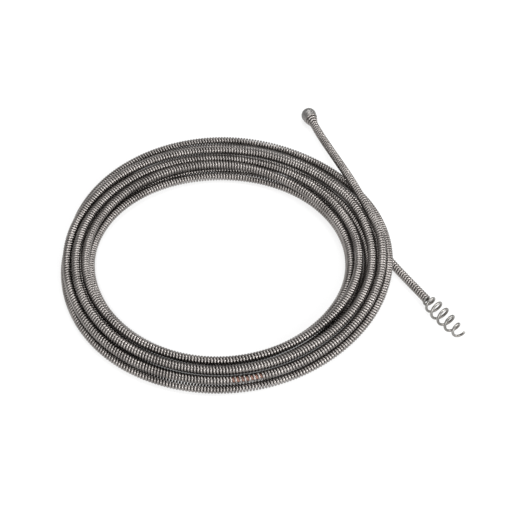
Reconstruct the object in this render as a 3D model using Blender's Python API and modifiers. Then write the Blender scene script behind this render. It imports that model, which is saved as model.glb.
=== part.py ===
"""A drain auger: one long, close-wound steel spring cable with a closed bulb at one end
and an open corkscrew at the other, lying in a coil of nine turns.

Metres, +Z up. The turns lie on the plane z = 0 and the origin is under the middle of the
whole cable. The coil winds clockwise, seen from above, from the bulb's end, which enters on
top, to the corkscrew's end, which leaves under the outer turns.
"""
import math

import bpy
import numpy as np
from mathutils import Vector

MM = 0.001

# The cable
CABLE_R = 4.0 * MM            # outside the winding
CORE_R = 1.5 * MM             # the sheathed wire rope inside it
BORE_R = 1.85 * MM            # inside the winding
GAP = 0.3 * MM                # between pieces that touch
TUBE_R = CABLE_R - GAP / 2

# The coil
STEPS = 36                    # points in a turn
ENTER = 19.7                  # degrees: where the bulb's end meets the coil
ENTER_R = 144.0 * MM
LEAVE = 31.4                  # degrees: where the corkscrew's end leaves it
LEAVE_R = 132.0 * MM
TOUCH = 8.4 * MM             # centre to centre of two turns side by side
OVER = 9.0 * MM               # and of a turn that crosses over the corkscrew's end
EASE = 0.05                   # how hard a turn is drawn to its place in the table below
SMOOTH = 0.2                  # and how much its neighbours along it even it out
RING_AT = (-33.28 * MM, -27.68 * MM)

# Where each turn lies, as radius and height in millimetres, at these angles clockwise from +X
SLOT_ANGLES = (0, 45, 90, 135, 180, 225, 270, 315)
SLOTS = (
    ((146.0, 19.0), (131.0, 11.5), (129.0, 10.6), (134.5, 12.0),
     (133.5, 13.5), (131.5, 17.0), (129.0, 15.5), (131.0, 17.0)),
    ((136.5, 16.5), (124.5, 18.0), (123.5, 18.2), (126.5, 16.0),
     (127.0, 16.0), (123.5, 16.5), (121.5, 11.0), (120.0, 16.0)),
    ((124.0, 15.5), (112.0, 17.0), (114.0, 16.5), (117.0, 18.0),
     (119.5, 18.0), (116.5, 14.0), (114.5, 15.0), (110.0, 11.5)),
    ((120.5, 11.0), (109.5, 10.6), (110.0, 10.6), (112.5, 11.0),
     (119.5, 11.5), (110.5, 7.0), (106.0, 4.0), (114.5, 4.0)),
    ((119.0, 4.0), (105.5, 4.0), (105.5, 4.0), (108.5, 4.0),
     (121.5, 4.0), (116.5, 4.0), (113.5, 5.0), (123.0, 4.0)),
    ((127.5, 4.0), (114.5, 4.0), (115.0, 4.0), (117.0, 4.0),
     (129.5, 4.0), (125.0, 4.0), (123.5, 4.0), (127.5, 9.5)),
    ((136.5, 10.0), (120.0, 10.6), (120.0, 10.6), (122.0, 11.0),
     (125.5, 12.0), (133.0, 11.0), (145.5, 5.5), (146.5, 5.5)),
    ((144.5, 4.5), (125.5, 4.0), (124.0, 4.0), (127.5, 4.0),
     (128.5, 11.5), (145.0, 8.5), (150.6, 8.2), (150.0, 4.0)),
    ((152.5, 16.8), (135.0, 4.0), (132.2, 4.0), (138.0, 4.0),
     (136.5, 4.0), (133.5, 4.0), (132.4, 4.0), (133.2, 4.0)),
)

# The free ends: millimetres along from where each meets the coil, and height
BULB_RUN = ((0, 19.6), (22, 19.5), (45, 18.2), (75, 13.8), (100, 9.8), (119, 7.4),
            (133.5, 6.95), (160, 6.9))
AUGER_RUN = ((0, 4.0), (35, 4.0), (69, 4.0), (88, 4.2), (100, 4.9), (113, 5.9), (129, 7.1))
BULB_BENDS = (50, 75)         # along the bulb's end: it swings sideways, then lifts
AUGER_BENDS = (82, 100)       # the same along the corkscrew's end
RUN_STEP = 10                 # between a free end's points

# The bulb, turned about the cable's own axis: radius and distance from its root
HEAD_FROM = 133.5
HEAD = ((3.85, 0), (4.3, 1.5), (5.2, 4.5), (6.1, 7.5))
NOSE = ((6.2, 7.8), (6.6, 10.5))   # its side, below a round dome
NOSE_R = 6.7
DOME_FROM = 13.0
DOME_HEIGHT = 6.5
SPIGOT = 3.0

# The corkscrew
COLLAR_FROM = 113
COLLAR_TO = 129
CORE_SHORT = 2.2              # of the core's end, inside the last closed turn
TIP_WIRE_R = 1.05 * MM
TIP_TURNS = 5.75
TIP_LENGTH = 48.0
TIP_EASE = (0.09, 0.15)        # its first turns stand closer: by how much, over what share
TIP_SHAPE = ((0, 2.85), (0.14, 5.2), (0.33, 6.8), (0.58, 6.7), (0.8, 5.7), (1, 3.6))
TIP_START = 2.6               # from the collar's face to the wire


# ---- the cable's middle line ----

def hermite(x, xs, ys):
    """The smooth curve through (xs, ys), read at x."""
    slope = np.gradient(ys, xs)
    i = np.clip(np.searchsorted(xs, x, side="right") - 1, 0, len(xs) - 2)
    h = xs[i + 1] - xs[i]
    t = (x - xs[i]) / h
    start = (2 * t**3 - 3 * t**2 + 1) * ys[i] + (t**3 - 2 * t**2 + t) * h * slope[i]
    end = (3 * t**2 - 2 * t**3) * ys[i + 1] + (t**3 - t**2) * h * slope[i + 1]
    return start + end


def auger_below(theta):
    """Radius and slant of the corkscrew's end where it runs under the turns at theta."""
    turned = LEAVE - theta
    if not 0 <= turned <= 31:
        return None
    cosine = math.cos(math.radians(turned))
    return LEAVE_R / cosine, 1 / cosine


def settle(angle, r, z, rounds=300):
    """Ease the turns apart where they would share space, and hold them above the floor."""
    wanted_r = r.copy()
    wanted_z = z.copy()
    sections = [np.arange(first, len(r), STEPS) for first in range(STEPS)]
    thetas = [(-angle[s[0]] + 180) % 360 - 180 for s in sections]
    crossings = [auger_below(theta) for theta in thetas]
    for _ in range(rounds):
        r += EASE * (wanted_r - r)
        z += EASE * (wanted_z - z)
        r[1:-1] += SMOOTH * (r[:-2] + r[2:] - 2 * r[1:-1])
        z[1:-1] += SMOOTH * (z[:-2] + z[2:] - 2 * z[1:-1])
        for _ in range(3):
            for s, crossing in zip(sections, crossings):
                spread(r, z, s)
                if crossing:
                    lift(r, z, s, *crossing)
                z[s] = np.maximum(z[s], CABLE_R)
    return r, z


def spread(r, z, s):
    """Push the turns of one section apart to a cable's width."""
    dr = r[s][:, None] - r[s][None]
    dz = z[s][:, None] - z[s][None]
    apart = np.hypot(dr, dz)
    np.fill_diagonal(apart, 1.0)
    push = np.clip(TOUCH - apart, 0, None) / 2 / apart
    r[s] += (push * dr).sum(1)
    z[s] += (push * dz).sum(1)


def lift(r, z, s, below_r, slant):
    """Raise the turns of one section over the corkscrew's end on the floor."""
    dr = (r[s] - below_r) / slant
    dz = z[s] - CABLE_R
    needed = np.sqrt(np.clip(OVER**2 - dr**2, 0, None))
    z[s] += np.where(np.hypot(dr, dz) < OVER, needed - dz, 0)


def coil_line():
    """Points along the nine turns, from the bulb's end to the corkscrew's."""
    around = [k * 360 + a for k in range(len(SLOTS)) for a in SLOT_ANGLES]
    slots = [slot for turn in SLOTS for slot in turn]
    around = np.array([-ENTER] + around, float)
    slots = np.array([(ENTER_R / MM, BULB_RUN[0][1])] + slots) * MM
    angle = np.arange(-ENTER, len(SLOTS) * 360 - LEAVE, 360 / STEPS)
    r = hermite(angle, around, slots[:, 0])
    z = hermite(angle, around, slots[:, 1])
    r, z = settle(angle, r, z)
    a = np.radians(-angle)
    return np.stack([r * np.cos(a), r * np.sin(a), z], 1)


def run_point(theta, radius, way, along, height):
    """A point on a straight run that leaves the coil at a tangent."""
    a = math.radians(theta)
    x = radius * math.cos(a) + way * along * MM * math.sin(a)
    y = radius * math.sin(a) - way * along * MM * math.cos(a)
    return x, y, height * MM


def bulb_at(along):
    """The middle line of the bulb's end, this far from the coil."""
    run = np.array(BULB_RUN, float)
    height = hermite(np.array([along], float), run[:, 0], run[:, 1])[0]
    return np.array(run_point(ENTER, ENTER_R, -1, along, height))


def auger_at(along):
    """The middle line of the corkscrew's end, this far from the coil."""
    run = np.array(AUGER_RUN, float)
    height = hermite(np.array([along], float), run[:, 0], run[:, 1])[0]
    return np.array(run_point(LEAVE, LEAVE_R, 1, along, height))


# ---- making pieces ----

def material(name, colour, roughness, metallic):
    made = bpy.data.materials.new(name)
    made.use_nodes = True
    shader = made.node_tree.nodes["Principled BSDF"]
    shader.inputs["Base Color"].default_value = (*colour, 1)
    shader.inputs["Roughness"].default_value = roughness
    shader.inputs["Metallic"].default_value = metallic
    return made


def tube(name, points, radii, bevel, look, origin=None):
    """A closed tube along points; radii scale the bevel at each of them."""
    curve = bpy.data.curves.new(name, "CURVE")
    curve.dimensions = "3D"
    curve.twist_mode = "Z_UP"
    curve.bevel_depth = bevel
    curve.bevel_resolution = 2
    curve.use_fill_caps = True
    line = curve.splines.new("POLY")
    line.points.add(len(points) - 1)
    at = np.array(origin) if origin is not None else np.zeros(3)
    for knot, point, radius in zip(line.points, points, radii):
        knot.co = (*(point - at), 1)
        knot.radius = radius
        knot.tilt = math.radians(22.5)
    made = bpy.data.objects.new(name, curve)
    made.location = Vector(at) + Vector((*RING_AT, 0))
    curve.materials.append(look)
    parts.objects.link(made)
    return made


def trimmed(points, start, end):
    """The line with a length taken off each end."""
    points = points.copy()
    for end_point, inner, cut in ((0, 1, start), (-1, -2, end)):
        way = points[inner] - points[end_point]
        points[end_point] = points[end_point] + way / np.linalg.norm(way) * cut
    return points


def run_line(at, first, last):
    """Evenly spaced points of a free end, in order along it."""
    count = max(2, round(abs(last - first) / RUN_STEP) + 1)
    return np.array([at(s) for s in np.linspace(first, last, count)])


def bending_tube(name, at, bend, last, look):
    """A stretch of a free end that begins with a ball about the point where it bends."""
    line = run_line(at, bend, last)
    way = (line[0] - line[1]) / np.linalg.norm(line[0] - line[1])
    ball = [(math.sin(a), math.cos(a)) for a in map(math.radians, (70, 48, 25))]
    start = np.array([line[0] + way * TUBE_R * out for out, _ in ball])
    points = np.vstack([start, trimmed(line, 0, GAP / 2)])
    radii = [radius for _, radius in ball] + [1.0] * len(line)
    return tube(name, points, radii, TUBE_R, look, origin=line[0])


def turned(name, profile, root, way, look, steps=24, closed=False):
    """A profile of (radius, distance) turned about an axis that starts at root."""
    mesh = bpy.data.meshes.new(name)
    corners = [(r * MM, 0, z * MM) for r, z in profile]
    edges = [(i, i + 1) for i in range(len(corners) - 1)]
    if closed:
        edges.append((len(corners) - 1, 0))
    mesh.from_pydata(corners, edges, [])
    made = bpy.data.objects.new(name, mesh)
    made.location = Vector(root) + Vector((*RING_AT, 0))
    made.rotation_euler = Vector(way).to_track_quat("Z", "Y").to_euler()
    spin = made.modifiers.new("Turn", "SCREW")
    spin.steps = steps
    spin.render_steps = steps
    spin.use_merge_vertices = True
    spin.merge_threshold = 0.00001
    spin.use_smooth_shade = True
    mesh.materials.append(look)
    parts.objects.link(made)
    return made


def rod(name, radius, start, end, root, way, look):
    """A plain round rod between two distances along an axis."""
    profile = [(0, end), (radius, end), (radius, start), (0, start)]
    return turned(name, profile, root, way, look, steps=16)


# ---- the cable ----

def cut(line, i, side):
    """A point half a gap to one side of the middle of a segment."""
    way = line[i + 1] - line[i]
    return (line[i] + line[i + 1]) / 2 + way / np.linalg.norm(way) * GAP / 2 * side


def make_turns(line):
    for k in range(len(SLOTS)):
        first = k * STEPS
        last = min(first + STEPS, len(line) - 2)
        inner = line[first + 1:last + 1]
        piece = np.vstack([cut(line, first, 1), inner, cut(line, last, -1)])
        tube(f"turn_{k + 1}", piece, [1.0] * len(piece), TUBE_R, steel)


def make_bulb_end(line):
    swing, raise_ = BULB_BENDS
    over = trimmed(run_line(bulb_at, swing, RUN_STEP), TUBE_R + GAP, 0)
    over = np.vstack([over, cut(line, 0, -1)])
    tube("bulb_run", over, [1.0] * len(over), TUBE_R, steel)
    bending_tube("bulb_neck", bulb_at, swing, raise_ - (TUBE_R + GAP) / MM, steel)
    bending_tube("bulb_shank", bulb_at, raise_, HEAD_FROM - GAP / MM, steel)
    root = bulb_at(HEAD_FROM)
    way = bulb_at(HEAD_FROM + 10) - bulb_at(HEAD_FROM - 2)
    bore = BORE_R / MM
    outside = list(HEAD)[::-1]
    head = outside + [(bore, HEAD[0][1]), (bore, HEAD[-1][1])]
    turned("bulb_head", head, root, way, steel, closed=True)
    face = HEAD[-1][1] + GAP / MM
    dome = [(NOSE_R * math.sin(a), DOME_FROM + DOME_HEIGHT * math.cos(a))
            for a in np.radians((0, 15, 30, 45, 60, 75, 90))]
    dome += list(NOSE)[::-1]
    spigot = CORE_R / MM
    dome += [(spigot, face), (spigot, face - SPIGOT), (0, face - SPIGOT)]
    turned("bulb_nose", dome, root, way, bright)
    rod("bulb_core", spigot, 0.5, face - SPIGOT - GAP / MM, root, way, sheath)


def tip_line():
    """The corkscrew's wire: it swells to twice the cable's width and closes in again."""
    count = int(TIP_TURNS * 14)
    share = np.linspace(0, 1, count + 1)
    shape = np.array(TIP_SHAPE, float)
    radius = hermite(share, shape[:, 0], shape[:, 1])
    turn = 2 * math.pi * TIP_TURNS * share
    lag, over = TIP_EASE
    along = TIP_START + TIP_LENGTH * (share - lag * (1 - np.exp(-share / over))) / (1 - lag)
    return np.stack([radius * np.cos(turn), radius * np.sin(turn), along], 1) * MM


def make_auger_end(line):
    swing, raise_ = AUGER_BENDS
    beneath = trimmed(run_line(auger_at, RUN_STEP, swing), 0, TUBE_R + GAP)
    beneath = np.vstack([cut(line, len(line) - 2, 1), beneath])
    tube("auger_run", beneath, [1.0] * len(beneath), TUBE_R, steel)
    bending_tube("auger_neck", auger_at, swing, raise_ - (TUBE_R + GAP) / MM, steel)
    bending_tube("auger_shank", auger_at, raise_, COLLAR_FROM - GAP / MM, steel)
    root = auger_at(COLLAR_FROM)
    way = auger_at(COLLAR_TO) - root
    bore = BORE_R / MM
    outer = TUBE_R / MM
    length = COLLAR_TO - COLLAR_FROM
    collar = [(outer, length), (outer, 0), (bore, 0), (bore, length)]
    turned("auger_collar", collar, root, way, steel, closed=True)
    core_end = length - CORE_SHORT
    rod("auger_core", CORE_R / MM, 0.5, core_end, root, way, sheath)
    face = core_end + GAP / MM
    cap = [(0, face + 1.2), (0.8, face + 1.05), (1.3, face + 0.6), (1.5, face), (0, face)]
    turned("core_cap", cap, root, way, bright, steps=16)
    make_tip(auger_at(COLLAR_TO), way)


def make_tip(root, way):
    points = tip_line()
    made = tube("auger_tip", points, [1.0] * len(points), TIP_WIRE_R, steel, origin=np.zeros(3))
    made.location = Vector(root) + Vector((*RING_AT, 0))
    made.rotation_euler = Vector(way).to_track_quat("Z", "Y").to_euler()


for old in list(bpy.data.objects):
    bpy.data.objects.remove(old)
parts = bpy.data.collections.new("drain_auger")
bpy.context.scene.collection.children.link(parts)
steel = material("spring_steel", (0.23, 0.22, 0.21), 0.38, 1.0)
bright = material("ground_steel", (0.45, 0.44, 0.43), 0.3, 1.0)
sheath = material("core_sheath", (0.28, 0.09, 0.05), 0.55, 0.0)
route = np.vstack([bulb_at(RUN_STEP), coil_line(), auger_at(0), auger_at(RUN_STEP)])
make_turns(route)
make_bulb_end(route)
make_auger_end(route)
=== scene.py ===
"""Looks of the drain auger: the wire winding laid wrap by wrap on the cable's middle line."""
import math

import bmesh
import bpy
import numpy as np
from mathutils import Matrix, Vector


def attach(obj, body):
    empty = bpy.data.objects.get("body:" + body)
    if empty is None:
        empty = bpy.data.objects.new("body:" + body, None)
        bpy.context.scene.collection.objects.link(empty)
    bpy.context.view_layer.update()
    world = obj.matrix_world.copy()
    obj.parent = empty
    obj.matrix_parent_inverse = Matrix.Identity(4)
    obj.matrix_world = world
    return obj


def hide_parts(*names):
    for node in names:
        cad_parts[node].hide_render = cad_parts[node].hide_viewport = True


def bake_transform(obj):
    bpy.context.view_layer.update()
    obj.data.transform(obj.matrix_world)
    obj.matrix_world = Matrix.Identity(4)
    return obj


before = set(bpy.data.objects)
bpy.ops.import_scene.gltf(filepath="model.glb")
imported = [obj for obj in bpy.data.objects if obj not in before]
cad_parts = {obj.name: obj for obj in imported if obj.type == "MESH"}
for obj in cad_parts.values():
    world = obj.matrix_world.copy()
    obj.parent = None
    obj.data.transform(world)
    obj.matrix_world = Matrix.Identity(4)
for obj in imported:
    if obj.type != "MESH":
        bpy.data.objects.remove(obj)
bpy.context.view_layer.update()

MM = 0.001

# The cable
CABLE_R = 4.0 * MM            # outside the winding
WIRE_R = 1.12 * MM
CORE_R = 1.55 * MM
CORE_OPEN_R = 2.2 * MM        # and where the winding has sprung open
CORE_STEP = 2.5 * MM
CORE_SIDES = 8
PITCH = 2.65 * MM
WRAP_STEPS = 12               # rings of points in one wrap of the wire
WIRE_SIDES = 6                # points in a ring
PATH_STEP = 4 * MM            # between the points that the cord's path is given by

# The coil, as in the CAD
STEPS = 36                    # points in a turn
ENTER = 19.7                  # degrees: where the bulb's end meets the coil
ENTER_R = 144.0 * MM
LEAVE = 31.4                  # degrees: where the corkscrew's end leaves it
LEAVE_R = 132.0 * MM
UNDER = 31                    # degrees round that it may lie under the turns
TOUCH = 8.4 * MM              # centre to centre of two turns side by side
OVER = 9.0 * MM               # and of a turn that crosses over the corkscrew's end
EASE = 0.05                   # how hard a turn is drawn to its place in the table below
SMOOTH = 0.2                  # and how much its neighbours along it even it out
RING_AT = (-33.28 * MM, -27.68 * MM)

# Where each turn lies, as radius and height in millimetres, at these angles clockwise from +X
SLOT_ANGLES = (0, 45, 90, 135, 180, 225, 270, 315)
SLOTS = (
    ((146.0, 19.0), (131.0, 11.5), (129.0, 10.6), (134.5, 12.0),
     (133.5, 13.5), (131.5, 17.0), (129.0, 15.5), (131.0, 17.0)),
    ((136.5, 16.5), (124.5, 18.0), (123.5, 18.2), (126.5, 16.0),
     (127.0, 16.0), (123.5, 16.5), (121.5, 11.0), (120.0, 16.0)),
    ((124.0, 15.5), (112.0, 17.0), (114.0, 16.5), (117.0, 18.0),
     (119.5, 18.0), (116.5, 14.0), (114.5, 15.0), (110.0, 11.5)),
    ((120.5, 11.0), (109.5, 10.6), (110.0, 10.6), (112.5, 11.0),
     (119.5, 11.5), (110.5, 7.0), (106.0, 4.0), (114.5, 4.0)),
    ((119.0, 4.0), (105.5, 4.0), (105.5, 4.0), (108.5, 4.0),
     (121.5, 4.0), (116.5, 4.0), (113.5, 5.0), (123.0, 4.0)),
    ((127.5, 4.0), (114.5, 4.0), (115.0, 4.0), (117.0, 4.0),
     (129.5, 4.0), (125.0, 4.0), (123.5, 4.0), (127.5, 9.5)),
    ((136.5, 10.0), (120.0, 10.6), (120.0, 10.6), (122.0, 11.0),
     (125.5, 12.0), (133.0, 11.0), (145.5, 5.5), (146.5, 5.5)),
    ((144.5, 4.5), (125.5, 4.0), (124.0, 4.0), (127.5, 4.0),
     (128.5, 11.5), (145.0, 8.5), (150.6, 8.2), (150.0, 4.0)),
    ((152.5, 16.8), (135.0, 4.0), (132.2, 4.0), (138.0, 4.0),
     (136.5, 4.0), (133.5, 4.0), (132.4, 4.0), (133.2, 4.0)),
)

# The free ends, as distance from where each meets the coil and height, in millimetres
BULB_RUN = ((0, 19.6), (22, 19.5), (45, 18.2), (75, 13.8), (100, 9.8), (119, 7.4),
            (133.5, 6.95), (160, 6.9))
AUGER_RUN = ((0, 4.0), (35, 4.0), (69, 4.0), (88, 4.2), (100, 4.9), (113, 5.9), (129, 7.1))
RUN_FROM = 8                  # no points between here and the coil's own end
BULB_STEP = 8.1875            # between the points on them
AUGER_STEP = 8.0667
FINE_STEP = 0.5 * MM          # between the points of the smooth line through all of them
WAY_ROUNDS = 4                # times that its direction is evened out

# Along the free ends, in millimetres from the coil: where the bulb and the corkscrew start,
# and where the winding is parted, at each end of its neck
HEAD_FROM = 133.5
TIP_FROM = 129
BULB_PARTS = (42, 62.5)
AUGER_PARTS = (76, 91)

# The stretch where the winding has sprung open, in degrees clockwise from +X
OPEN_FROM = 73.5
OPEN_TO = 86.8
OPEN_EASE = 1.6               # degrees over which it opens and closes
OPEN_BY = 0.48                # share added to the pitch
OPEN_WITHIN = 0.45            # metres of the coil, from its upper end, that it can lie in

# The bulb, as radius and distance from its root, in millimetres
HEAD = ((4.0, 0), (4.4, 1.5), (5.5, 4.5), (6.5, 7.5), (7.0, 10.0), (7.15, 12.4))
NOSE = ((6.1, 7.0), (6.65, 9.5), (6.85, 12.6), (7.15, 13.0), (6.9, 14.8), (6.35, 16.3),
        (5.35, 17.7), (4.0, 18.8), (2.15, 19.5), (0, 19.7))
HEAD_AXIS = (-2, 10)          # its axis points from the one to the other, along the free end
HEAD_START = -0.6 * MM        # its first wrap, against the last one of the cable
HEAD_WRAP_STEPS = 16
# The bulb's dark filling is painted shade just inside its wraps
FILLING_IN = 1.4              # how far the dark filling lies below the bulb's wraps
FILLING_R = 1.6               # and its least radius

# The corkscrew, with its shape as share of its length and radius in millimetres
TIP_WIRE_R = 1.15 * MM
TIP_TURNS = 5.75
TIP_LENGTH = 48.0 * MM
TIP_EASE = (0.09, 0.15)       # its first turns stand closer: by how much, over what share
TIP_SHAPE = ((0, 2.85), (0.14, 5.2), (0.33, 6.8), (0.58, 6.7), (0.8, 5.7), (1, 3.6))
TIP_WRAP_STEPS = 30
TIP_SIDES = 12
TIP_AXIS = 16                 # its axis points along this last stretch of the free end

# The core's cap in the last wraps, as radius and distance from the corkscrew's root
CORE_END = ((1.5, -2.4), (1.5, -1.9), (1.3, -1.4), (0, -1.2))

# The grooves between wraps: painted shade darkens the side of each wrap that faces into them
GROOVE_SHADE = (0.115, 0.099, 0.088, 1)
END_GROOVE_SHADE = 0.6              # how much of that colour the bulb and the corkscrew have

# The camera
CAMERA_AWAY = 1.3             # metres from the middle of the coil
CAMERA_UP = 50.5              # degrees above the floor
CAMERA_LENS = 102.8
CAMERA_SHIFT = (0.0686, 0.0255)

# The floor, with a painted shadow in a ring under the coil, and the light
FLOOR_Z = -0.6 * MM
FLOOR_GLOW = 0.75
# the floor's base colour, darker in the painted shadow under the coil
FLOOR_TONES = (0.19, 0.25)    # where it has no glow, and where it has all of it
SHADE_AT = (RING_AT[0] + 4 * MM, RING_AT[1] + 16 * MM, 0)
SHADE = ((0.1165, 1), (0.1195, 0.26), (0.139, 0.26), (0.143, 1))    # distance, share of glow
SKY = 0.49
LAMPS = (                     # name, place, width, height, watts; all face the origin
    ("top", (0.1, 0.4, 1.9), 1.2, 1.2, 22),
    ("front", (0.3, -1.9, 0.9), 1.8, 1.1, 36),
    ("right", (1.9, -0.3, 1.0), 0.6, 1.1, 30),
)


# ---- camera ----

def camera():
    """The photo's view: straight at the coil from the front, and from above."""
    lens = bpy.data.cameras.new("camera")
    lens.sensor_width = 36
    lens.lens = CAMERA_LENS
    lens.shift_x, lens.shift_y = CAMERA_SHIFT
    lens.clip_end = 30
    made = bpy.data.objects.new("camera", lens)
    up = math.radians(CAMERA_UP)
    back = CAMERA_AWAY * math.cos(up)
    made.location = (RING_AT[0], RING_AT[1] - back, CAMERA_AWAY * math.sin(up))
    made.rotation_euler = (math.radians(90) - up, 0, 0)
    bpy.context.scene.collection.objects.link(made)
    bpy.context.scene.camera = made


# ---- the cable's middle line, as in the CAD ----

def hermite(x, xs, ys):
    """The smooth curve through (xs, ys), read at x."""
    slope = np.gradient(ys, xs)
    i = np.clip(np.searchsorted(xs, x, side="right") - 1, 0, len(xs) - 2)
    h = xs[i + 1] - xs[i]
    t = (x - xs[i]) / h
    start = (2 * t**3 - 3 * t**2 + 1) * ys[i] + (t**3 - 2 * t**2 + t) * h * slope[i]
    end = (3 * t**2 - 2 * t**3) * ys[i + 1] + (t**3 - t**2) * h * slope[i + 1]
    return start + end


def auger_below(theta):
    """Radius and slant of the corkscrew's end where it runs under the turns at theta."""
    turned = LEAVE - theta
    if not 0 <= turned <= UNDER:
        return None
    cosine = math.cos(math.radians(turned))
    return LEAVE_R / cosine, 1 / cosine


def settle(angle, r, z, rounds=300, passes=3):
    """Ease the turns apart where they would share space, and hold them above the floor."""
    wanted_r = r.copy()
    wanted_z = z.copy()
    sections = [np.arange(first, len(r), STEPS) for first in range(STEPS)]
    thetas = [(-angle[s[0]] + 180) % 360 - 180 for s in sections]
    crossings = [auger_below(theta) for theta in thetas]
    for _ in range(rounds):
        r += EASE * (wanted_r - r)
        z += EASE * (wanted_z - z)
        r[1:-1] += SMOOTH * (r[:-2] + r[2:] - 2 * r[1:-1])
        z[1:-1] += SMOOTH * (z[:-2] + z[2:] - 2 * z[1:-1])
        for _ in range(passes):
            for s, crossing in zip(sections, crossings):
                spread(r, z, s)
                if crossing:
                    lift(r, z, s, *crossing)
                z[s] = np.maximum(z[s], CABLE_R)
    return r, z


def spread(r, z, s):
    """Push the turns of one section apart to a cable's width."""
    dr = r[s][:, None] - r[s][None]
    dz = z[s][:, None] - z[s][None]
    apart = np.hypot(dr, dz)
    np.fill_diagonal(apart, 1.0)
    push = np.clip(TOUCH - apart, 0, None) / 2 / apart
    r[s] += (push * dr).sum(1)
    z[s] += (push * dz).sum(1)


def lift(r, z, s, below_r, slant):
    """Raise the turns of one section over the corkscrew's end on the floor."""
    dr = (r[s] - below_r) / slant
    dz = z[s] - CABLE_R
    needed = np.sqrt(np.clip(OVER**2 - dr**2, 0, None))
    z[s] += np.where(np.hypot(dr, dz) < OVER, needed - dz, 0)


def coil_line():
    """Points along the nine turns, from the bulb's end to the corkscrew's."""
    around = [k * 360 + a for k in range(len(SLOTS)) for a in SLOT_ANGLES]
    slots = [slot for turn in SLOTS for slot in turn]
    around = np.array([-ENTER] + around, float)
    slots = np.array([(ENTER_R / MM, BULB_RUN[0][1])] + slots) * MM
    angle = np.arange(-ENTER, len(SLOTS) * 360 - LEAVE, 360 / STEPS)
    r = hermite(angle, around, slots[:, 0])
    z = hermite(angle, around, slots[:, 1])
    r, z = settle(angle, r, z)
    a = np.radians(-angle)
    return np.stack([r * np.cos(a) + RING_AT[0], r * np.sin(a) + RING_AT[1], z], 1)


def run_at(theta, radius, way, table, along):
    """Points on a free end, millimetres along it from the coil."""
    a = math.radians(theta)
    along = np.atleast_1d(np.array(along, float))
    run = np.array(table, float)
    x = RING_AT[0] + radius * math.cos(a) + way * along * MM * math.sin(a)
    y = RING_AT[1] + radius * math.sin(a) - way * along * MM * math.cos(a)
    return np.stack([x, y, hermite(along, run[:, 0], run[:, 1]) * MM], 1)


def bulb_at(along):
    """The middle line of the bulb's end, this far from the coil."""
    return run_at(ENTER, ENTER_R, -1, BULB_RUN, along)


def auger_at(along):
    """The middle line of the corkscrew's end, this far from the coil."""
    return run_at(LEAVE, LEAVE_R, 1, AUGER_RUN, along)


class Line:
    """The whole middle line from the bulb's root to the corkscrew's, read by its length."""

    def __init__(self, coil):
        bulb = bulb_at(np.arange(HEAD_FROM, RUN_FROM, -BULB_STEP))
        auger = auger_at(np.append(0, np.arange(RUN_FROM, TIP_FROM + 1, AUGER_STEP)))
        points = np.vstack([bulb, coil, auger])
        steps = np.linalg.norm(np.diff(points, axis=0), axis=1)
        rough = np.concatenate([[0], np.cumsum(steps)])
        s = np.arange(0, rough[-1], FINE_STEP)
        s = np.append(s, rough[-1])
        self.fine = np.stack([hermite(s, rough, points[:, i]) for i in range(3)], 1)
        steps = np.linalg.norm(np.diff(self.fine, axis=0), axis=1)
        self.s = np.concatenate([[0], np.cumsum(steps)])
        self.length = self.s[-1]
        way = np.gradient(self.fine, self.s, axis=0)
        for _ in range(WAY_ROUNDS):
            way[1:-1] = (way[:-2] + 2 * way[1:-1] + way[2:]) / 4
        self.way = way / np.linalg.norm(way, axis=1, keepdims=True)
        self.coil_from = self.near(coil[0])

    def at(self, s):
        """Points at these lengths along it."""
        return np.stack([np.interp(s, self.s, self.fine[:, i]) for i in range(3)], 1)

    def frames(self, s):
        """The way along, and two directions across it."""
        way = np.stack([np.interp(s, self.s, self.way[:, i]) for i in range(3)], 1)
        way /= np.linalg.norm(way, axis=1, keepdims=True)
        up = np.array([0, 0, 1]) - way[:, 2:] * way
        up /= np.linalg.norm(up, axis=1, keepdims=True)
        return way, up, np.cross(way, up)

    def near(self, point):
        """The length along the line nearest to a point."""
        return self.s[np.argmin(np.linalg.norm(self.fine - np.array(point), axis=1))]


# ---- meshes ----

def mesh_piece(name, verts, faces, look, key, values):
    """A smooth mesh of quads, with one number at each point for its material to read."""
    made = bpy.data.meshes.new(name)
    made.vertices.add(len(verts))
    made.vertices.foreach_set("co", np.asarray(verts, np.float32).ravel())
    sizes = np.full(len(faces), faces.shape[1], np.int32)
    made.loops.add(faces.size)
    made.loops.foreach_set("vertex_index", faces.astype(np.int32).ravel())
    made.polygons.add(len(faces))
    made.polygons.foreach_set("loop_start", (np.cumsum(sizes) - sizes).astype(np.int32))
    made.materials.append(look)
    made.update(calc_edges=True)
    made.validate()
    made.polygons.foreach_set("use_smooth", np.ones(len(faces), bool))
    layer = made.attributes.new(key, "FLOAT", "POINT")
    layer.data.foreach_set("value", np.asarray(values, np.float32))
    piece = bpy.data.objects.new(name, made)
    bpy.context.scene.collection.objects.link(piece)
    return piece


def ring_faces(rings, sides):
    """Quads between rings of points."""
    i = np.arange(rings - 1)[:, None] * sides
    j = np.arange(sides)[None]
    k = (j + 1) % sides
    quads = np.stack([i + j, i + k, i + sides + k, i + sides + j], 2)
    return quads.reshape(-1, 4)


def wire(centres, outward, radius, sides=WIRE_SIDES):
    """A round wire along centres; each ring of points starts on the outward side."""
    way = np.gradient(centres, axis=0)
    way /= np.linalg.norm(way, axis=1, keepdims=True)
    out = outward - (outward * way).sum(1, keepdims=True) * way
    out /= np.linalg.norm(out, axis=1, keepdims=True)
    side = np.cross(way, out)
    turn = np.arange(sides) * 2 * math.pi / sides
    radius = np.broadcast_to(np.asarray(radius, float), (len(centres),))
    across = out[:, None] * np.cos(turn)[:, None] + side[:, None] * np.sin(turn)[:, None]
    points = centres[:, None] + across * radius[:, None, None]
    groove = np.tile(0.5 - 0.5 * np.cos(turn), len(centres))
    return points.reshape(-1, 3), ring_faces(len(centres), sides), groove


# ---- materials ----

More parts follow.
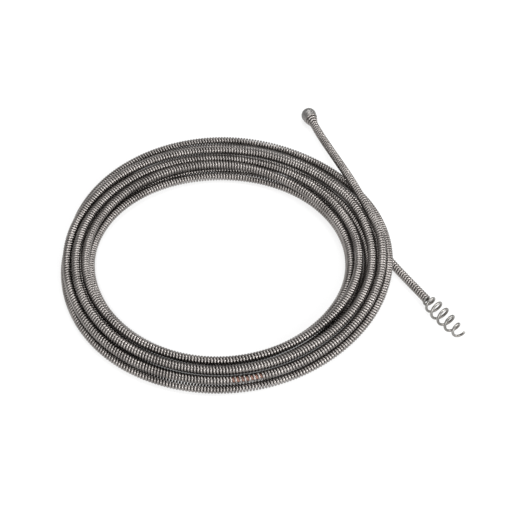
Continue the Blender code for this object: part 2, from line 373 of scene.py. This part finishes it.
def steel(name, dark, light, rough):
    """Drawn spring wire: grey steel, browner and duller where painted shade darkens it in the
    grooves between wraps.
    """
    made = bpy.data.materials.new(name)
    made.use_nodes = True
    tree = made.node_tree
    shader = tree.nodes["Principled BSDF"]
    shader.inputs["Metallic"].default_value = 1.0
    place = tree.nodes.new("ShaderNodeTexCoord")
    broad = tree.nodes.new("ShaderNodeTexNoise")
    broad.inputs["Scale"].default_value = 45
    broad.inputs["Detail"].default_value = 4
    fine = tree.nodes.new("ShaderNodeTexNoise")
    fine.inputs["Scale"].default_value = 900
    fine.inputs["Detail"].default_value = 3
    tree.links.new(place.outputs["Object"], broad.inputs["Vector"])
    tree.links.new(place.outputs["Object"], fine.inputs["Vector"])
    tone = tree.nodes.new("ShaderNodeValToRGB")
    tone.color_ramp.elements[0].position = 0.3
    tone.color_ramp.elements[0].color = (*dark, 1)
    tone.color_ramp.elements[1].position = 0.7
    tone.color_ramp.elements[1].color = (*light, 1)
    tree.links.new(broad.outputs["Fac"], tone.inputs["Fac"])
    # painted shade: the side of each wrap that faces into the groove is mixed towards a dark
    # brown
    groove = tree.nodes.new("ShaderNodeAttribute")
    groove.attribute_name = "groove"
    painted_shade = tree.nodes.new("ShaderNodeMapRange")
    painted_shade.inputs["From Min"].default_value = 0.25
    painted_shade.inputs["From Max"].default_value = 0.85
    tree.links.new(groove.outputs["Fac"], painted_shade.inputs["Value"])
    mix = tree.nodes.new("ShaderNodeMix")
    mix.data_type = "RGBA"
    mix.inputs["B"].default_value = GROOVE_SHADE
    tree.links.new(painted_shade.outputs["Result"], mix.inputs["Factor"])
    tree.links.new(tone.outputs["Color"], mix.inputs["A"])
    tree.links.new(mix.outputs["Result"], shader.inputs["Base Color"])
    dull = tree.nodes.new("ShaderNodeMapRange")
    dull.inputs["From Min"].default_value = 0.3
    dull.inputs["From Max"].default_value = 0.7
    dull.inputs["To Min"].default_value = rough - 0.06
    dull.inputs["To Max"].default_value = rough + 0.08
    tree.links.new(fine.outputs["Fac"], dull.inputs["Value"])
    tree.links.new(dull.outputs["Result"], shader.inputs["Roughness"])
    return made


def sheath(name):
    """The core's blotchy red-brown sheath, with painted shade making it near-black where the
    winding is closed.
    """
    made = bpy.data.materials.new(name)
    made.use_nodes = True
    tree = made.node_tree
    shader = tree.nodes["Principled BSDF"]
    shader.inputs["Roughness"].default_value = 0.45
    place = tree.nodes.new("ShaderNodeTexCoord")
    blotch = tree.nodes.new("ShaderNodeTexNoise")
    blotch.inputs["Scale"].default_value = 260
    blotch.inputs["Detail"].default_value = 4
    tone = tree.nodes.new("ShaderNodeValToRGB")
    tone.color_ramp.elements[0].position = 0.35
    tone.color_ramp.elements[0].color = (0.13, 0.055, 0.038, 1)
    tone.color_ramp.elements[1].position = 0.7
    tone.color_ramp.elements[1].color = (0.34, 0.16, 0.11, 1)
    tree.links.new(place.outputs["Object"], blotch.inputs["Vector"])
    tree.links.new(blotch.outputs["Fac"], tone.inputs["Fac"])
    shown = tree.nodes.new("ShaderNodeAttribute")
    shown.attribute_name = "shown"
    mix = tree.nodes.new("ShaderNodeMix")
    mix.data_type = "RGBA"
    # painted shade: near-black where the winding is closed over the sheath
    mix.inputs["A"].default_value = (0.022, 0.018, 0.016, 1)
    tree.links.new(shown.outputs["Fac"], mix.inputs["Factor"])
    tree.links.new(tone.outputs["Color"], mix.inputs["B"])
    tree.links.new(mix.outputs["Result"], shader.inputs["Base Color"])
    return made


# ---- the winding ----

class Winding:
    """The wire's helix on the cable's middle line."""

    def __init__(self, line):
        self.line = line
        step = PITCH / WRAP_STEPS
        count = int(round(line.length / step))
        s = np.linspace(0, line.length, count + 1)
        pitch = PITCH * (1 + OPEN_BY * self.opened(s))
        turn = np.concatenate([[0], np.cumsum(2 * math.pi / pitch[:-1] * np.diff(s))])
        self.s = s
        self.turn = turn
        way, up, across = line.frames(s)
        self.out = up * np.cos(turn)[:, None] + across * np.sin(turn)[:, None]
        self.centres = line.at(s) + self.out * (CABLE_R - WIRE_R)

    def opened(self, s):
        """How far the winding stands open, from 0 to 1."""
        place = self.line.at(s)
        x = place[:, 0] - RING_AT[0]
        y = place[:, 1] - RING_AT[1]
        theta = np.degrees(np.arctan2(-y, x))
        coil_from = self.line.coil_from
        first = (s > coil_from) & (s < coil_from + OPEN_WITHIN)
        up = np.clip((theta - OPEN_FROM) / OPEN_EASE, 0, 1)
        down = np.clip((OPEN_TO - theta) / OPEN_EASE, 0, 1)
        share = np.minimum(up, down)
        return np.where(first, share * share * (3 - 2 * share), 0)

    def part(self, name, start, end, look):
        """The wraps between two lengths along the line, up to where the next part starts."""
        inside = np.flatnonzero((self.s >= start - 1e-9) & (self.s <= end + 1e-9))
        keep = slice(inside[0], inside[-1] + 2)
        points, faces, groove = wire(self.centres[keep], self.out[keep], WIRE_R)
        return mesh_piece(name, points, faces, look, "groove", groove)


def core(name, line, winding, start, end, look):
    """The sheathed rope, which is thicker where the winding has sprung open and it shows."""
    s = np.linspace(start, end, max(2, int((end - start) / CORE_STEP)))
    up = line.frames(s)[1]
    shown = winding.opened(s)
    radius = CORE_R + (CORE_OPEN_R - CORE_R) * shown
    points, faces, _ = wire(line.at(s), up, radius, CORE_SIDES)
    return mesh_piece(name, points, faces, look, "shown", np.repeat(shown, CORE_SIDES))


def basis(way):
    """The unit way along an axis, and two directions across it."""
    way = way / np.linalg.norm(way)
    up = np.array([0, 0, 1]) - way[2] * way
    up /= np.linalg.norm(up)
    return way, up, np.cross(way, up)


def place_helix(name, root, way, radius, turn, along, look, wire_r, sides=8):
    """A wire wound about an axis, from its radius, turn and distance at each step."""
    way, up, across = basis(way)
    out = up[None] * np.cos(turn)[:, None] + across[None] * np.sin(turn)[:, None]
    centres = root + way[None] * along[:, None] + out * radius[:, None]
    points, faces, groove = wire(centres, out, wire_r, sides)
    # painted shade in the grooves, weaker on the bulb and the corkscrew
    return mesh_piece(name, points, faces, look, "groove", groove * END_GROOVE_SHADE)


def turned(name, root, way, profile, look, sides=48):
    """A profile of (radius, distance) turned about an axis that starts at root."""
    way, up, across = basis(way)
    table = np.array(profile, float) * MM
    turn = np.arange(sides) * 2 * math.pi / sides
    ring = up[None] * np.cos(turn)[:, None] + across[None] * np.sin(turn)[:, None]
    points = root + way[None, None] * table[:, None, 1:2] + ring[None] * table[:, None, 0:1]
    points = points.reshape(-1, 3)
    faces = ring_faces(len(table), sides)
    return mesh_piece(name, points, faces, look, "groove", np.zeros(len(points)))


def make_cable():
    """The winding and the core in five lengths; the middle one goes with the coil's body."""
    first_cut = line.near(bulb_at(BULB_PARTS[1])[0])
    second_cut = line.near(bulb_at(BULB_PARTS[0])[0])
    third_cut = line.near(auger_at(AUGER_PARTS[0])[0])
    fourth_cut = line.near(auger_at(AUGER_PARTS[1])[0])
    winding = Winding(line)
    cuts = {
        "winding_bulb_shank": (0, first_cut),
        "winding_bulb_neck": (first_cut, second_cut),
        "winding_coil": (second_cut, third_cut),
        "winding_auger_neck": (third_cut, fourth_cut),
        "winding_auger_shank": (fourth_cut, line.length),
    }
    made = {}
    for name, (start, end) in cuts.items():
        made[name] = winding.part(name, start, end, wire_look)
        inner = name.replace("winding", "core")
        made[inner] = core(inner, line, winding, start, end, core_look)
    for kind in ("winding", "core"):
        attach(made[f"{kind}_coil"], "coil")
        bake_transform(made[f"{kind}_bulb_neck"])
        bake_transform(made[f"{kind}_bulb_shank"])
        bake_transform(made[f"{kind}_auger_neck"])
        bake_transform(made[f"{kind}_auger_shank"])
    turns = [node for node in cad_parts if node.startswith("turn_")]
    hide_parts(*turns, "bulb_run", "auger_run")
    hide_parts("bulb_neck")
    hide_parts("bulb_shank")
    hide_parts("auger_neck")
    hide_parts("auger_shank", "auger_collar")
    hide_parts("auger_core")
    count = int((third_cut - second_cut) / PATH_STEP)
    return made, winding, line.at(np.linspace(second_cut, third_cut, count))


def make_bulb():
    """The bulb's own wraps, a dark filling of painted shade inside them, and the dome."""
    root = bulb_at(HEAD_FROM)[0]
    way = bulb_at(HEAD_FROM + HEAD_AXIS[1])[0] - bulb_at(HEAD_FROM + HEAD_AXIS[0])[0]
    table = np.array(HEAD, float) * MM
    end = table[-1, 1]
    steps = int((end - HEAD_START) / PITCH * HEAD_WRAP_STEPS)
    along = np.linspace(HEAD_START, end, steps + 1)
    radius = np.interp(along, table[:, 1], table[:, 0]) - WIRE_R
    turn = 2 * math.pi * along / PITCH
    head = place_helix("bulb_winding", root, way, radius, turn, along, wire_look, WIRE_R)
    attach(head, "bulb_lift")
    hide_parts("bulb_head")
    filling = [(max(r - FILLING_IN, FILLING_R), z) for r, z in HEAD]
    # painted shade: a dark sheet just inside the bulb's wraps
    fill = turned("bulb_shade_filling", root, way, filling, bulb_shade_look)
    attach(fill, "bulb_lift")
    nose = turned("bulb_dome", root, way, NOSE, nose_look)
    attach(nose, "bulb_lift")
    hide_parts("bulb_nose", "bulb_core")
    return [head, fill, nose]


def make_tip(winding):
    """The open corkscrew, which goes on from the winding's last wrap, and the core's cap."""
    root = auger_at(TIP_FROM)[0]
    way = root - auger_at(TIP_FROM - TIP_AXIS)[0]
    steps = int(TIP_TURNS * TIP_WRAP_STEPS)
    share = np.linspace(0, 1, steps + 1)
    shape = np.array(TIP_SHAPE, float)
    radius = hermite(share, shape[:, 0], shape[:, 1]) * MM
    lag, over = TIP_EASE
    along = TIP_LENGTH * (share - lag * (1 - np.exp(-share / over))) / (1 - lag)
    turn = winding.turn[-1] + 2 * math.pi * TIP_TURNS * share
    tip = place_helix("corkscrew", root, way, radius, turn, along, tip_look, TIP_WIRE_R,
                      TIP_SIDES)
    end_cap(tip, TIP_SIDES)
    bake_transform(tip)
    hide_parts("auger_tip")
    cap = turned("core_end", root, way, CORE_END, nose_look, sides=16)
    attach(cap, "auger_lift")
    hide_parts("core_cap")
    return [tip, cap]


def end_cap(piece, sides):
    """Closes the wire's last ring with a flat end."""
    mesh = piece.data
    work = bmesh.new()
    work.from_mesh(mesh)
    work.verts.ensure_lookup_table()
    face = work.faces.new(work.verts[-sides:])
    face.smooth = False
    work.to_mesh(mesh)
    work.free()


# ---- floor and light ----

def glow_outside_coil(tree, shader):
    """The floor lights itself, but less in a ring under the coil, where its base colour is
    darker too: a painted shadow, so that its gaps stay dark.
    """
    place = tree.nodes.new("ShaderNodeTexCoord")
    middle = tree.nodes.new("ShaderNodeVectorMath")
    middle.operation = "SUBTRACT"
    middle.inputs[1].default_value = SHADE_AT
    away = tree.nodes.new("ShaderNodeVectorMath")
    away.operation = "LENGTH"
    tree.links.new(place.outputs["Object"], middle.inputs[0])
    tree.links.new(middle.outputs["Vector"], away.inputs[0])
    glow = tree.nodes.new("ShaderNodeValToRGB")
    glow.color_ramp.elements[0].color = (1, 1, 1, 1)
    glow.color_ramp.elements[1].position = SHADE[0][0]
    for spot, value in SHADE[1:]:
        glow.color_ramp.elements.new(spot).color = (value, value, value, 1)
    tree.links.new(away.outputs["Value"], glow.inputs["Fac"])
    strength = tree.nodes.new("ShaderNodeMath")
    strength.operation = "MULTIPLY"
    strength.inputs[1].default_value = FLOOR_GLOW
    tree.links.new(glow.outputs["Color"], strength.inputs[0])
    tree.links.new(strength.outputs["Value"], shader.inputs["Emission Strength"])
    tone = tree.nodes.new("ShaderNodeMapRange")
    tone.inputs["To Min"].default_value = FLOOR_TONES[0]
    tone.inputs["To Max"].default_value = FLOOR_TONES[1]
    tree.links.new(glow.outputs["Color"], tone.inputs["Value"])
    tree.links.new(tone.outputs["Result"], shader.inputs["Base Color"])


def floor_and_light():
    """A plain pale floor with a painted shadow in a ring under the coil, a white sky and three
    soft lamps.
    """
    bpy.ops.mesh.primitive_plane_add(size=12, location=(0, 0, FLOOR_Z))
    floor = bpy.context.object
    floor.name = "floor"
    look = bpy.data.materials.new("floor")
    look.use_nodes = True
    shader = look.node_tree.nodes["Principled BSDF"]
    shader.inputs["Roughness"].default_value = 0.9
    shader.inputs["Specular IOR Level"].default_value = 0.0
    shader.inputs["Emission Color"].default_value = (1, 1, 1, 1)
    glow_outside_coil(look.node_tree, shader)
    floor.data.materials.append(look)
    world = bpy.data.worlds.new("studio")
    world.use_nodes = True
    sky = world.node_tree.nodes["Background"]
    sky.inputs["Color"].default_value = (1, 1, 1, 1)
    sky.inputs["Strength"].default_value = SKY
    bpy.context.scene.world = world
    for name, place, wide, high, power in LAMPS:
        light = bpy.data.lights.new(name, "AREA")
        light.shape = "RECTANGLE"
        light.size = wide
        light.size_y = high
        light.energy = power
        made = bpy.data.objects.new(name, light)
        made.location = place
        made.rotation_euler = (-Vector(place)).to_track_quat("-Z", "Y").to_euler()
        bpy.context.scene.collection.objects.link(made)
    bpy.context.scene.view_settings.view_transform = "Standard"


camera()
wire_look = steel("spring_steel", (0.20, 0.185, 0.176), (0.35, 0.328, 0.314), 0.34)
tip_look = steel("tip_steel", (0.21, 0.205, 0.195), (0.33, 0.32, 0.305), 0.33)
nose_look = steel("nose_steel", (0.20, 0.196, 0.19), (0.31, 0.304, 0.296), 0.5)
# painted shade inside the bulb's wraps
bulb_shade_look = steel("painted_shade_filling", (0.05, 0.045, 0.04), (0.08, 0.07, 0.065), 0.6)
core_look = sheath("core_sheath")
line = Line(coil_line())
cable, winding, coil_path = make_cable()
bulb = make_bulb()
tip = make_tip(winding)
floor_and_light()
